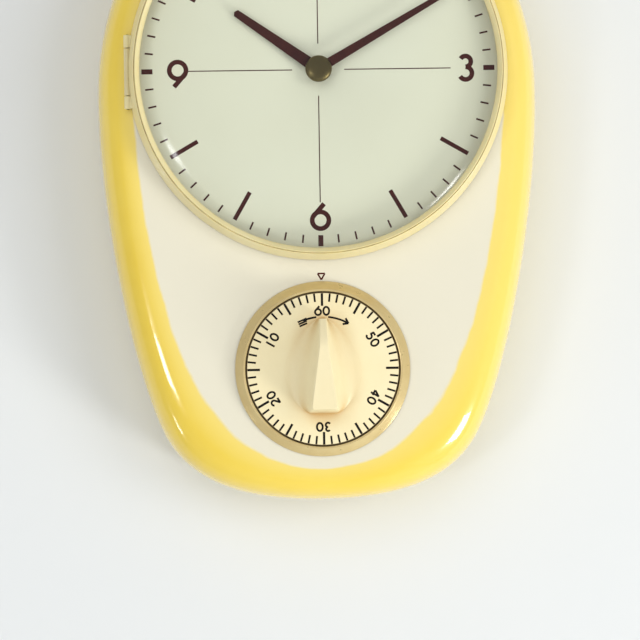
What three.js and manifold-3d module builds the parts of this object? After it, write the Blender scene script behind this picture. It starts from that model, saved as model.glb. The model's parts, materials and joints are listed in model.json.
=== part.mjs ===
// A glazed ceramic wall clock for the kitchen with a built-in sixty-minute timer.
// Millimetres. The object is drawn with x to the right, y up and z out of the wall; the outer group then
// turns it so that +Z is up and the front faces -Y. Its origin is where the hanger plate meets the wall.
import * as THREE from "three";
import { mergeVertices } from "three/addons/utils/BufferGeometryUtils.js";
import Module from "manifold-3d";

const wasm = await Module();
wasm.setup();

// ---- Driving dimensions ----
const GAP = 0.3; // between neighbours that touch on the real object
const ROUND = 32; // sides of the large round pieces
const HANGER_TO_CLOCK = 76; // hanger plate origin down to the clock's centre
const CLOCK_TO_TIMER = 124; // clock's centre down to the timer's centre

// Ceramic body: outer outline and the outline of its flat front panel, about the clock's centre
const OUTER = {
  bottom: -179.5, flat: 37.5, corner: [66.7, -150.5], slope: 64.3, before: 21, after: 28.7,
  side: [92.4, -9], below: 49.6, above: 58, shoulder: 54, top: 97,
};
const PANEL = {
  bottom: -165.2, flat: 25.8, corner: [51.8, -131.1], slope: 60.5, before: 21.4, after: 30.5,
  side: [77, 0], below: 49.8, above: 45, shoulder: 46, top: 82,
};
const OUTLINE_STEPS = 6; // per curve of an outline
const PANEL_Z = 44.2; // front of the panel, from the wall
const SIDE_Z = 20; // where the straight side starts to roll over
const WALL = 5; // thickness of the fired clay
const CLOCK_HOLE_R = 71;
const TIMER_HOLE_R = 33;
const BOSSES = [[66, 48.5], [-66, 48.5], [52, -118], [-52, -118]]; // for the rear cover's screws
const BOSS = { r: 4.5, back: 4.5, hole: 1.7, holeFront: 12 };
const WEB = { y: 52, z0: 1.8, z1: 6.8 }; // the closed top of the back, behind the hanger plate
const RECESS = { width: 18, height: 25, below: 11 }; // room behind the keyhole for a screw's head

// Back
const HANGER = { width: 48, low: -22, high: 10, thick: 1.5, entryR: 5, entryY: -13, slotR: 2.3, slotTop: -5 };
const HANGER_SCREW_X = [-17, 17];
const HANGER_SCREW = { headR: 3, shankR: 1.4, z0: 0.1, z1: 1.6, z2: 6.4 };
const SINK = { backR: 3.6, frontR: 1.7 };
const COVER = { z0: 2.2, z1: 4.2, margin: 0.7, keyHole: 20 };
const VENT = { width: 3, height: 26, pitch: 8 };
const COVER_SCREW = { headR: 3.2, shankR: 1.3, z0: 0.4, z1: 1.9, z2: 10 };

// Clock front
const SEAT_Z = PANEL_Z + GAP;
const SEAT_FLANGE = { r: 74.8, z: 45.7 };
const SEAT_TUBE = { outer: 70.2, inner: 68.7, back: 33 };
const SEAT_FLOOR = { r: 34, z0: 38.3, z1: 39.5 };
const DIAL = { r: 75.4, bore: 3.2, z0: 46, z1: 46.6 };
const BEZEL = { base: 78.9, groove: 76, lip: 73.9, z0: 44.7, crest: 55, wall: 2.1 };
const HINGE = { x: -78.9, z: 46.5, r: 1.5, pin: 0.6, half: 15.3, leaf: 9.7 };
const GLASS = { r: 75.6, apex: 59, edge: 52, thick: 1.8 };
const CLAMP = { r: 73.6, z0: 36.2, z1: PANEL_Z - WALL - GAP };
const HOUR_HAND = { length: 42, tail: 4.5, base: 5, tip: 3, z: 48.8 };
const MINUTE_HAND = { length: 61, tail: 4.5, base: 4, tip: 2.2, z: 50.6 };
const HAND_THICK = 0.6;
const HOUR_ANGLE = 305; // clockwise from twelve
const MINUTE_ANGLE = 60;
const PIPES = { cannonBore: 1.1, cannon: 1.6, hourBore: 1.9, hour: 2.6 };
const HUB = { r: 5.5, z0: 51.8, z1: 54.4 };

// Clock movement, between two round plates
const PLATE_R = 40;
const BACK_PLATE = { z0: 20.5, z1: 22 };
const FRONT_PLATE = { z0: 36.5, z1: 38 };
const GREAT = { teeth: 32, pinion: 8, module: 1.125, angle: -90 };
const CENTRE = { teeth: 24, pinion: 8, module: 0.97, angle: 150 };
const THIRD = { teeth: 24, pinion: 8, module: 0.77, angle: 60 };
const MOTION = { cannon: 8, minute: 24, module: 0.75, pinion: 8, hour: 32, hourModule: 0.6 };
const ARBOR_R = 0.8;
const PILLAR_R = 2.4;
const MOVEMENT_SCREW = { headR: 2.9, shankR: 1.4, z0: FRONT_PLATE.z0 - 2, z1: FRONT_PLATE.z0 - GAP, z2: 41 };
const BARREL = { r: 15, bore: 14, arbor: 2.5, arborBack: 13.4 };
const RATCHET = { teeth: 18, root: 6, tip: 7.4 };
const KEY = { hubR: 3.6, wingR: 5.2, wingX: 8, wingZ: 10.4, thick: 2.4 };
const ESCAPE = { teeth: 15, root: 5.4, tip: 7 };
const BALANCE = { outer: 8.4, inner: 7.3 };

// Heights from the wall of what turns between the clock's plates, behind them and in front of them
const span = (z0, z1) => ({ z0, z1 });
const LEVEL = {
  key: span(9, 17.9),
  ratchet: span(18.5, 19.8),
  thirdPinion: span(22.3, 24),
  centreWheel: span(22.5, 23.6),
  centrePinion: span(24, 26),
  greatWheel: span(24.3, 25.6),
  barrel: span(24.3, 34.5),
  mainspring: span(26.2, 33.8),
  escapeWheel: span(26.4, 27.4),
  escapePinion: span(29.5, 31.5),
  thirdWheel: span(30, 31),
  balance: span(31, 32.2),
  hairspring: span(33.4, 34),
  cannonPinion: span(39, 41.5),
  minuteWheel: span(39.6, 40.8),
  minutePinion: span(40.6, 44),
  hourWheel: span(42.2, 43.4),
};

// Timer
const KNOB = { r: 31.4, z0: 45.9, z1: 48.7, top: 65, up: 21.8, down: 18.5, flare: 16 };
const TIMER_RING = { outer: 36.4, inner: 32.1, flange: 28, z1: 49, flangeZ: 45.5 };
const TIMER_PLATE = { r: 36, z0: 37.4, z1: 38.9 };
const TIMER_BACK = { r: 28, z0: 20.5, z1: 22 };
const TIMER_MAIN = { teeth: 32, pinion: 8, module: 0.9, angle: 200 };
const TIMER_SECOND = { teeth: 24, pinion: 8, module: 0.79, angle: -60 };
const BELL = { r: 18.5, back: 6.5, rim: 17.5, thick: 1.2 };
const BELL_POST = { r: 1.2, headR: 3, z0: 4.6, headZ: 6.1 };
const HAMMER = { x: 20, y: -12, headX: 21.5, headY: 1.5, headR: 2.5 };
const SPINDLE_R = 2;
const TIMER_PILLAR_R = 2.2;
const TIMER_SCREW = { headR: 2.6, shankR: 1.2, z0: TIMER_PLATE.z0 - 1.8, z1: TIMER_PLATE.z0 - GAP, z2: 43.6 };
const TIMER_SCREW_HOLE = 1.5;
const TIMER_ESCAPE = { teeth: 15, root: 4.6, tip: 6 };
const TRIP_CAM_R = 8;
const TIMER_LEVEL = {
  hammerHead: span(11.5, 15.5),
  hammerArm: span(12.6, 14),
  mainspring: span(22.8, 28.5),
  escapeWheel: span(25, 26),
  escapePinion: span(29, 30.6),
  secondWheel: span(29.3, 30.3),
  tripCam: span(31.2, 32.4),
  tripArm: span(31.4, 32.2),
  secondPinion: span(33.2, 35),
  mainWheel: span(33.5, 34.7),
};

// ---- Materials ----
const material = (color, roughness, metalness) =>
  new THREE.MeshStandardMaterial({ color, roughness, metalness });
const LOOK = {
  glaze: () => material(0xf0d45f, 0.18, 0),
  ivory: () => material(0xe8dfc4, 0.4, 0),
  dial: () => material(0xdbdecb, 0.6, 0),
  glass: () => new THREE.MeshStandardMaterial({
    color: 0xffffff, roughness: 0.02, metalness: 0, transparent: true, opacity: 0.25,
  }),
  ink: () => material(0x2a1a14, 0.5, 0.2),
  brass: () => material(0xb89a5a, 0.35, 1),
  steel: () => material(0x9a9c9e, 0.4, 1),
  board: () => material(0x8a6a48, 0.8, 0),
};

// ---- Geometry helpers ----
const radians = THREE.MathUtils.degToRad;

// A point at a distance and an angle, anticlockwise from +x.
function polar(r, degrees, from = [0, 0]) {
  return [from[0] + r * Math.cos(radians(degrees)), from[1] + r * Math.sin(radians(degrees))];
}

function solid(geometry) {
  const bare = geometry.clone();
  bare.deleteAttribute("normal");
  bare.deleteAttribute("uv");
  const merged = mergeVertices(bare, 1e-4);
  return new wasm.Manifold(new wasm.Mesh({
    numProp: 3,
    vertProperties: merged.attributes.position.array,
    triVerts: new Uint32Array(merged.index.array),
  }));
}

function geometryOf(body) {
  const mesh = body.getMesh();
  const geometry = new THREE.BufferGeometry();
  geometry.setAttribute("position", new THREE.BufferAttribute(new Float32Array(mesh.vertProperties), 3));
  geometry.setIndex(new THREE.BufferAttribute(new Uint32Array(mesh.triVerts), 1));
  geometry.computeVertexNormals();
  return geometry;
}

const joined = (first, ...rest) =>
  geometryOf(rest.reduce((body, other) => body.add(solid(other)), solid(first)));
const cut = (first, ...tools) =>
  geometryOf(tools.reduce((body, tool) => body.subtract(solid(tool)), solid(first)));
const common = (first, second) => geometryOf(solid(first).intersect(solid(second)));

function cylinder(r, z0, z1, at = [0, 0], sides = 16, topR = r) {
  const geometry = new THREE.CylinderGeometry(topR, r, z1 - z0, sides);
  return geometry.rotateX(Math.PI / 2).translate(at[0], at[1], (z0 + z1) / 2);
}

function box(width, height, z0, z1, at = [0, 0]) {
  return new THREE.BoxGeometry(width, height, z1 - z0).translate(at[0], at[1], (z0 + z1) / 2);
}

// A closed profile of [radius, z] pairs, given anticlockwise, turned about the z axis.
function turned(profile, sides = ROUND, at = [0, 0]) {
  const points = profile.map(([r, z]) => new THREE.Vector2(r, z));
  const onAxis = profile[0][0] === 0;
  if (!onAxis) points.push(points[0].clone());
  return new THREE.LatheGeometry(points, sides).rotateX(Math.PI / 2).translate(at[0], at[1], 0);
}

function ring(inner, outer, z0, z1, sides = ROUND, at = [0, 0]) {
  return turned([[inner, z0], [outer, z0], [outer, z1], [inner, z1]], sides, at);
}

function plate(shape, z0, z1, steps = 12) {
  const settings = { depth: z1 - z0, bevelEnabled: false, curveSegments: steps };
  return new THREE.ExtrudeGeometry(shape, settings).translate(0, 0, z0);
}

const shapeOf = (points) => new THREE.Shape(points.map(([x, y]) => new THREE.Vector2(x, y)));

// A bar with straight sides from one point to another.
function bar(from, to, width, z0, z1) {
  const length = Math.hypot(to[0] - from[0], to[1] - from[1]);
  const geometry = new THREE.BoxGeometry(length, width, z1 - z0);
  geometry.rotateZ(Math.atan2(to[1] - from[1], to[0] - from[0]));
  return geometry.translate((from[0] + to[0]) / 2, (from[1] + to[1]) / 2, (z0 + z1) / 2);
}

// Straight-flanked teeth with generous backlash; one tooth points at the angle called phase.
function gear({ teeth, module, phase = 0, z0, z1, bore = 0, at = [0, 0] }) {
  const pitch = 360 / teeth;
  const root = module * (teeth / 2 - 1.15);
  const tip = module * (teeth / 2 + 0.75);
  const points = [];
  for (let i = 0; i < teeth; i += 1) {
    const middle = phase + i * pitch;
    points.push(polar(root, middle - 0.27 * pitch), polar(tip, middle - 0.1 * pitch));
    points.push(polar(tip, middle + 0.1 * pitch), polar(root, middle + 0.27 * pitch));
  }
  const shape = shapeOf(points);
  if (bore) shape.holes.push(new THREE.Path().absarc(0, 0, bore, 0, 2 * Math.PI, true));
  return plate(shape, z0, z1, 5).translate(at[0], at[1], 0);
}

// Pointed teeth, as on an escape wheel or a ratchet.
function sawWheel({ teeth, root, tip, z0, z1, bore = 0, at = [0, 0], lean = 0.2 }) {
  const pitch = 360 / teeth;
  const points = [];
  for (let i = 0; i < teeth; i += 1) {
    points.push(polar(root, i * pitch), polar(tip, (i + lean) * pitch));
  }
  const shape = shapeOf(points);
  if (bore) shape.holes.push(new THREE.Path().absarc(0, 0, bore, 0, 2 * Math.PI, true));
  return plate(shape, z0, z1, 5).translate(at[0], at[1], 0);
}

// A flat ribbon coiled from one radius to another.
function spiral({ from, to, turns, thick, z0, z1, steps = 10, at = [0, 0] }) {
  const outer = [];
  const inner = [];
  const count = Math.round(turns * steps);
  for (let i = 0; i <= count; i += 1) {
    const r = from + ((to - from) * i) / count;
    const degrees = (360 * i) / steps;
    outer.push(polar(r + thick / 2, degrees));
    inner.unshift(polar(r - thick / 2, degrees));
  }
  return plate(shapeOf([...outer, ...inner]), z0, z1).translate(at[0], at[1], 0);
}

// A skin over rings of equal length, closed by a flat cap at each end.
function loft(rings) {
  const count = rings[0].length;
  const positions = rings.flat().flatMap((p) => [p.x, p.y, p.z]);
  const faces = [];
  for (let k = 0; k + 1 < rings.length; k += 1) {
    for (let i = 0; i < count; i += 1) {
      const a = k * count + i;
      const b = k * count + ((i + 1) % count);
      faces.push(a, b, b + count, a, b + count, a + count);
    }
  }
  const capOf = (ring) => THREE.ShapeUtils.triangulateShape(ring.map((p) => new THREE.Vector2(p.x, p.y)), []);
  const last = (rings.length - 1) * count;
  capOf(rings[0]).forEach(([a, b, c]) => faces.push(a, c, b));
  capOf(rings.at(-1)).forEach(([a, b, c]) => faces.push(last + a, last + b, last + c));
  const geometry = new THREE.BufferGeometry();
  geometry.setAttribute("position", new THREE.Float32BufferAttribute(positions, 3));
  geometry.setIndex(faces);
  geometry.computeVertexNormals();
  return geometry;
}

// ---- Outlines of the ceramic body ----

// A mirrored outline of three curves a side: bottom to corner, corner to side, side to top.
function outline(o) {
  const [cx, cy] = o.corner;
  const [sx, sy] = o.side;
  const along = polar(1, o.slope);
  const half = new THREE.Shape();
  half.moveTo(0, o.bottom);
  half.bezierCurveTo(o.flat, o.bottom, cx - along[0] * o.before, cy - along[1] * o.before, cx, cy);
  half.bezierCurveTo(cx + along[0] * o.after, cy + along[1] * o.after, sx, sy - o.below, sx, sy);
  half.bezierCurveTo(sx, sy + o.above, o.shoulder, o.top, 0, o.top);
  const right = half.getPoints(OUTLINE_STEPS);
  const left = right.slice(1, -1).reverse().map((p) => new THREE.Vector2(-p.x, p.y));
  return [...right, ...left];
}

// The same outline moved inwards by a distance.
function inset(points, distance) {
  return points.map((p, i) => {
    const before = points.at(i - 1);
    const after = points[(i + 1) % points.length];
    const along = after.clone().sub(before).normalize();
    return new THREE.Vector2(p.x - along.y * distance, p.y + along.x * distance);
  });
}

// Rings that rise from one outline, then roll over onto the other.
function shoulderRings(low, high, startZ, sideZ, topZ, steps) {
  const at = (weight, z) => low.map((p, i) => {
    const mixed = p.clone().lerp(high[i], weight);
    return new THREE.Vector3(mixed.x, mixed.y, z);
  });
  const rings = [at(0, startZ)];
  for (let i = 0; i <= steps; i += 1) {
    const angle = (Math.PI / 2) * (i / steps);
    rings.push(at(1 - Math.cos(angle), sideZ + (topZ - sideZ) * Math.sin(angle)));
  }
  return rings;
}

// ---- Assembly tree ----
const part = new THREE.Group();
const clock = new THREE.Group();
const timer = new THREE.Group();
part.rotation.x = Math.PI / 2;
clock.position.y = -HANGER_TO_CLOCK;
timer.position.y = -CLOCK_TO_TIMER;
part.add(clock);
clock.add(timer);

function add(group, name, geometry, look) {
  const mesh = new THREE.Mesh(geometry, look());
  mesh.name = name;
  group.add(mesh);
}

// A screw with a flat head from z0 to z1 and its shank running to z2.
function screw({ headR, shankR, z0, z1, z2 }, at) {
  return joined(cylinder(headR, z0, z1, at, 10), cylinder(shankR, z1 - 0.2, z2, at, 8));
}

// ---- Ceramic body, hanger and rear cover ----
const outer = outline(OUTER);
const panel = outline(PANEL);

function ceramicHousing() {
  const full = loft(shoulderRings(outer, panel, 0, SIDE_Z, PANEL_Z, 5));
  const low = inset(outer, WALL);
  const hollow = loft(shoulderRings(low, inset(panel, WALL / 2), -1, SIDE_Z - 2, PANEL_Z - WALL, 3));
  const shell = cut(full, hollow);
  const webBox = box(200, OUTER.top - WEB.y, WEB.z0, WEB.z1, [0, (OUTER.top + WEB.y) / 2]);
  const web = common(webBox, full);
  const bosses = BOSSES.map((at) => common(cylinder(BOSS.r, BOSS.back, PANEL_Z - 4, at, 10), full));
  const body = joined(shell, web, ...bosses);
  const screwHoles = BOSSES.map((at) => cylinder(BOSS.hole, BOSS.back - 1, BOSS.holeFront, at, 10));
  const hangerHoles = HANGER_SCREW_X.map((x) => cylinder(BOSS.hole, 0, 10, [x, HANGER_TO_CLOCK], 10));
  return cut(
    body,
    cylinder(CLOCK_HOLE_R, 30, 50, [0, 0], ROUND),
    cylinder(TIMER_HOLE_R, 30, 50, [0, -CLOCK_TO_TIMER], ROUND),
    box(RECESS.width, RECESS.height, 0, 10, [0, HANGER_TO_CLOCK - RECESS.below]),
    ...screwHoles,
    ...hangerHoles,
  );
}

function hangerPlate() {
  const h = HANGER;
  const blank = box(h.width, h.high - h.low, 0, h.thick, [0, (h.high + h.low) / 2]);
  const entry = cylinder(h.entryR, -1, 3, [0, h.entryY]);
  const slot = box(2 * h.slotR, h.slotTop - h.entryY, -1, 3, [0, (h.slotTop + h.entryY) / 2]);
  const slotEnd = cylinder(h.slotR, -1, 3, [0, h.slotTop], 10);
  const sinks = HANGER_SCREW_X.map((x) => cylinder(SINK.backR, -0.3, 1.8, [x, 0], 16, SINK.frontR));
  return cut(blank, entry, joined(slot, slotEnd), ...sinks).translate(0, HANGER_TO_CLOCK, 0);
}

function hangerScrew(x) {
  const at = [x, HANGER_TO_CLOCK];
  const { headR, shankR, z0, z1, z2 } = HANGER_SCREW;
  return joined(cylinder(headR, z0, z1, at, 16, shankR), cylinder(shankR, z1 - 0.2, z2, at, 8));
}

const KEY_AT = polar((GREAT.module * (GREAT.teeth + GREAT.pinion)) / 2, GREAT.angle);

function rearCover() {
  const sheet = plate(new THREE.Shape(inset(outer, WALL + COVER.margin)), COVER.z0, COVER.z1);
  const crop = box(220, 60, 0, 10, [0, WEB.y - 1 + 30]);
  const keyHole = cylinder(COVER.keyHole, 0, 10, KEY_AT, ROUND);
  const screwHoles = BOSSES.map((at) => cylinder(BOSS.hole, 0, 10, at, 10));
  const vents = [-1, 0, 1].map((i) => (
    box(VENT.width, VENT.height, 0, 10, [i * VENT.pitch, -CLOCK_TO_TIMER])));
  return cut(sheet, crop, keyHole, ...screwHoles, ...vents);
}

add(clock, "ceramic_housing", ceramicHousing(), LOOK.glaze);
add(clock, "hanger_plate", hangerPlate(), LOOK.steel);
HANGER_SCREW_X.forEach((x, i) => add(clock, `hanger_screw_${i + 1}`, hangerScrew(x), LOOK.steel));
add(clock, "rear_cover", rearCover(), LOOK.board);
BOSSES.forEach((at, i) => {
  add(clock, `cover_screw_${i + 1}`, screw(COVER_SCREW, at), LOOK.steel);
});

// ---- Dial seat, dial, bezel and glass ----
const MOVEMENT_SCREWS = [90, 210, 330].map((angle) => polar(37, angle));

// The seat's flange lies on the ceramic and its tube goes through; one tab carries the middle knuckle.
function dialSeat() {
  const { outer: tubeOuter, inner: tubeInner, back } = SEAT_TUBE;
  const cup = turned([
    [tubeInner, back], [tubeOuter, back], [tubeOuter, SEAT_Z], [SEAT_FLANGE.r, SEAT_Z],
    [SEAT_FLANGE.r, SEAT_FLANGE.z], [tubeInner, SEAT_FLANGE.z], [tubeInner, SEAT_FLOOR.z1],
    [SEAT_FLOOR.r, SEAT_FLOOR.z1], [SEAT_FLOOR.r, SEAT_FLOOR.z0], [tubeInner, SEAT_FLOOR.z0],
  ], ROUND);
  const tab = box(8, 2 * HINGE.leaf, SEAT_Z + 0.1, SEAT_FLANGE.z, [HINGE.x + 4, 0]);
  const body = joined(cup, tab, knuckle(-HINGE.leaf, HINGE.leaf));
  const holes = MOVEMENT_SCREWS.map((at) => cylinder(1.8, 30, 42, at, 8));
  return cut(body, pinHole(), ...holes);
}

// A length of the hinge barrel between two heights.
function knuckle(y0, y1, r = HINGE.r) {
  return new THREE.CylinderGeometry(r, r, y1 - y0, 10).translate(HINGE.x, (y0 + y1) / 2, HINGE.z);
}

const pinHole = () => knuckle(-HINGE.half - 2, HINGE.half + 2, HINGE.pin + 0.08);

// An ivory ring with a sloping outside, a fine groove at its crest and a lip that holds the glass.
function bezel() {
  const b = BEZEL;
  const inside = b.base - b.wall;
  const hoop = turned([
    [inside, b.z0], [b.base, b.z0], [b.base - 0.2, b.z0 + 2.2], [b.groove + 1.2, b.crest - 2.2],
    [b.groove + 0.2, b.crest - 0.6], [b.groove - 0.1, b.crest - 1], [b.groove - 0.4, b.crest - 0.2],
    [b.groove - 1.1, b.crest], [b.lip, b.crest - 0.5], [b.lip, b.crest - 2], [b.groove + 0.1, b.crest - 2],
    [b.groove + 0.1, b.crest - 3.4],
  ], ROUND);
  const ends = [[-HINGE.half, -HINGE.leaf - GAP], [HINGE.leaf + GAP, HINGE.half]];
  const knuckles = ends.map(([y0, y1]) => joined(
    knuckle(y0, y1),
    box(3, y1 - y0, HINGE.z - 1.2, HINGE.z + 1.5, [HINGE.x + 1.5, (y0 + y1) / 2]),
  ));
  const notch = box(8, 2 * (HINGE.leaf + GAP), b.z0 - 1, HINGE.z + HINGE.r + GAP + 0.2, [HINGE.x + 2.5, 0]);
  return cut(joined(cut(hoop, notch), ...knuckles), pinHole());
}

// A convex glass: a slice of a spherical shell.
function glassLens() {
  const { r, apex, edge, thick } = GLASS;
  const rise = apex - edge;
  const sphere = (r * r + rise * rise) / (2 * rise);
  const front = (x) => apex - sphere + Math.sqrt(sphere * sphere - x * x);
  const steps = [0, 0.35, 0.7, 1];
  const back = steps.map((s) => [s * r, front(s * r) - thick]);
  const fore = steps.toReversed().map((s) => [s * r, front(s * r)]);
  return turned([...back, ...fore], ROUND);
}

add(clock, "dial_seat", dialSeat(), LOOK.ivory);
add(clock, "clamp_ring", ring(SEAT_TUBE.outer + GAP, CLAMP.r, CLAMP.z0, CLAMP.z1), LOOK.steel);
add(clock, "dial_plate", ring(DIAL.bore, DIAL.r, DIAL.z0, DIAL.z1), LOOK.dial);
add(clock, "bezel", bezel(), LOOK.ivory);
add(clock, "glass_lens", glassLens(), LOOK.glass);
const GLASS_BACK = GLASS.edge - GLASS.thick;
add(clock, "glass_ring", ring(GLASS.r - 1, GLASS.r, GLASS_BACK - 1.2, GLASS_BACK - GAP), LOOK.brass);
add(clock, "hinge_pin", knuckle(-HINGE.half - 0.2, HINGE.half + 0.2, HINGE.pin), LOOK.brass);

// ---- Hands ----
function hand({ length, tail, base, tip, z }, pipe, clockwise) {
  const bore = pipe + 0.1;
  const shape = shapeOf([
    [-base * 0.4, -tail], [base * 0.4, -tail], [base / 2, 0], [tip / 2, length - 1], [0, length],
    [-tip / 2, length - 1], [-base / 2, 0],
  ]);
  const blade = plate(shape, z, z + HAND_THICK);
  const boss = cylinder(bore + 1.6, z, z + HAND_THICK, [0, 0], 24);
  const body = cut(joined(blade, boss), cylinder(bore, z - 1, z + 2, [0, 0], 12));
  return body.rotateZ(-radians(clockwise));
}

function hubCap() {
  const steps = [0, 35, 65, 90];
  const dome = steps.map((a) => {
    const [across, up] = polar(1, a);
    return [a === 90 ? 0 : HUB.r * across, HUB.z0 + 0.6 + (HUB.z1 - HUB.z0 - 0.6) * up];
  });
  return turned([[0, HUB.z0], [HUB.r, HUB.z0], ...dome], 20);
}

add(clock, "hour_hand", hand(HOUR_HAND, PIPES.hour, HOUR_ANGLE), LOOK.ink);
add(clock, "minute_hand", hand(MINUTE_HAND, PIPES.cannon, MINUTE_ANGLE), LOOK.ink);
add(clock, "hub_cap", hubCap(), LOOK.brass);

// ---- Clock movement ----
const GREAT_AT = KEY_AT;
const THIRD_AT = polar((CENTRE.module * (CENTRE.teeth + CENTRE.pinion)) / 2, CENTRE.angle);
const ESCAPE_AT = polar((THIRD.module * (THIRD.teeth + THIRD.pinion)) / 2, THIRD.angle, THIRD_AT);
const PALLET_AT = [ESCAPE_AT[0] + 12, ESCAPE_AT[1]];
const BALANCE_AT = [ESCAPE_AT[0] + 23.5, ESCAPE_AT[1]];
const MINUTE_WHEEL_AT = [(MOTION.module * (MOTION.cannon + MOTION.minute)) / 2, 0];
const PILLARS = [0, 135, 225].map((angle) => polar(36, angle));
const PIVOTS = [THIRD_AT, ESCAPE_AT, PALLET_AT, BALANCE_AT];

// A meshing partner's phase: it turns a gap to the tooth that points at it.
const facing = (angle, teeth) => angle + 180 + 180 / teeth;

function movementPlate({ z0, z1 }, extra) {
  const holes = PIVOTS.map((at) => cylinder(ARBOR_R + GAP, z0 - 1, z1 + 1, at, 8));
  return cut(cylinder(PLATE_R, z0, z1, [0, 0], 28), ...holes, ...extra);
}

function frontPlate() {
  const { z0, z1 } = FRONT_PLATE;
  const disc = movementPlate(FRONT_PLATE, [
    cylinder(ARBOR_R + GAP, z0 - 1, z1 + 1, [0, 0], 8),
    cylinder(2.8, z0 - 1, z1 + 1, GREAT_AT, 12),
    ...MOVEMENT_SCREWS.map((at) => cylinder(1.8, z0 - 1, z1 + 1, at, 8)),
  ]);
  return joined(disc, cylinder(0.9, z1 - 0.5, 45, MINUTE_WHEEL_AT, 8));
}

function backPlate() {
  const { z0, z1 } = BACK_PLATE;
  return movementPlate(BACK_PLATE, [
    cylinder(ARBOR_R + GAP, z0 - 1, z1 + 1, [0, 0], 8),
    cylinder(2.8, z0 - 1, z1 + 1, GREAT_AT, 12),
  ]);
}

function arbor(at, z0 = BACK_PLATE.z0, z1 = FRONT_PLATE.z1) {
  return cylinder(ARBOR_R, z0, z1, at, 8);
}

function cannonPinion() {
  const { cannon, module } = MOTION;
  const leaves = gear({ teeth: cannon, module, ...LEVEL.cannonPinion });
  const pipe = cylinder(PIPES.cannon, FRONT_PLATE.z1 + 0.4, MINUTE_HAND.z + 0.9, [0, 0], 12);
  return cut(joined(leaves, pipe), cylinder(PIPES.cannonBore, 38, 60, [0, 0], 10));
}

function minuteWheel() {
  const { minute, module, pinion, hourModule } = MOTION;
  const wheel = gear({ teeth: minute, module, phase: facing(0, minute), ...LEVEL.minuteWheel });
  const leaves = gear({ teeth: pinion, module: hourModule, ...LEVEL.minutePinion });
  return cut(joined(wheel, leaves), cylinder(1.1, 38, 46, [0, 0], 8))
    .translate(MINUTE_WHEEL_AT[0], 0, 0);
}

function hourWheel() {
  const { hour, hourModule: module } = MOTION;
  const wheel = gear({ teeth: hour, module, phase: 180 / hour, ...LEVEL.hourWheel });
  const pipe = cylinder(PIPES.hour, LEVEL.hourWheel.z0, HOUR_HAND.z + 0.9, [0, 0], 12);
  return cut(joined(wheel, pipe), cylinder(PIPES.hourBore, 40, 60, [0, 0], 10));
}

function mainspringBarrel() {
  const { teeth, pinion, module, angle } = GREAT;
  const { z0, z1 } = LEVEL.barrel;
  const rim = gear({ teeth, module, phase: facing(angle, teeth), ...LEVEL.greatWheel });
  const drum = cylinder(BARREL.r, z0, z1, [0, 0], 24);
  const hollow = cylinder(BARREL.bore, z0 + 1.2, z1 + 1, [0, 0], 24);
  return cut(joined(rim, drum), hollow, cylinder(BARREL.arbor + GAP, z0 - 1, z1, [0, 0], 12))
    .translate(GREAT_AT[0], GREAT_AT[1], 0);
}

// A hub with two round wings to turn it by, and a socket for the barrel's arbor.
function windingKey() {
  const { hubR, wingR, wingX, wingZ, thick } = KEY;
  const { z0, z1 } = LEVEL.key;
  const wing = (x) => new THREE.CylinderGeometry(wingR, wingR, thick, 24).translate(x, 0, wingZ);
  const bridge = new THREE.BoxGeometry(2 * wingX, thick, 5).translate(0, 0, wingZ);
  const body = joined(cylinder(hubR, z0, z1, [0, 0], 12), wing(wingX), wing(-wingX), bridge);
  const socket = cylinder(BARREL.arbor + GAP, BARREL.arborBack - 0.4, z1 + 1, [0, 0], 12);
  return cut(body, socket).translate(GREAT_AT[0], GREAT_AT[1], 0);
}

// The click stands just clear of the ratchet's teeth.
const CLICK_AT = [GREAT_AT[0] + 11.5, GREAT_AT[1] + 5];
function click() {
  const { z0, z1 } = LEVEL.ratchet;
  const tip = polar(RATCHET.tip + 0.8, 8, GREAT_AT);
  const body = joined(cylinder(2.4, z0, z1, CLICK_AT, 10), bar(CLICK_AT, tip, 1.6, z0, z1));
  return joined(body, cylinder(ARBOR_R, z0, BACK_PLATE.z0 - 0.1, CLICK_AT, 8));
}

function thirdWheel() {
  const { pinion, module, angle } = CENTRE;
  const { teeth, module: fine, angle: next } = THIRD;
  return joined(
    arbor(THIRD_AT),
    gear({ teeth: pinion, module, phase: facing(angle, pinion), at: THIRD_AT, ...LEVEL.thirdPinion }),
    gear({ teeth, module: fine, phase: next, at: THIRD_AT, ...LEVEL.thirdWheel }),
  );
}

function escapeWheel() {
  const { pinion, module, angle } = THIRD;
  return joined(
    arbor(ESCAPE_AT),
    gear({ teeth: pinion, module, phase: facing(angle, pinion), at: ESCAPE_AT, ...LEVEL.escapePinion }),
    sawWheel({ ...ESCAPE, at: ESCAPE_AT, ...LEVEL.escapeWheel }),
  );
}

// A lever whose two pins stand on either side of an escape wheel's teeth.
function rocker({ pivot, wheelAt, pinRadius, shaft, level: { z0, z1 } }) {
  const reach = [-38, 38].map((a) => polar(pinRadius, a, wheelAt));
  const arms = reach.map((at) => bar(pivot, at, 1.6, z0, z1));
  const pins = reach.map((at) => cylinder(0.6, z0 - 0.6, z1 + 0.2, at, 10));
  return joined(cylinder(1.8, z0, z1, pivot, 10), shaft, ...arms, ...pins);
}

function balanceWheel() {
  const { inner, outer: rimR } = BALANCE;
  const { z0, z1 } = LEVEL.balance;
  const rim = ring(inner, rimR, z0, z1, 20, BALANCE_AT);
  const spokes = [0, 120, 240].map((a) => (
    bar(BALANCE_AT, polar(inner + 0.3, a, BALANCE_AT), 1, z0 + 0.2, z1 - 0.2)));
  return joined(rim, arbor(BALANCE_AT), ...spokes);
}

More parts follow.
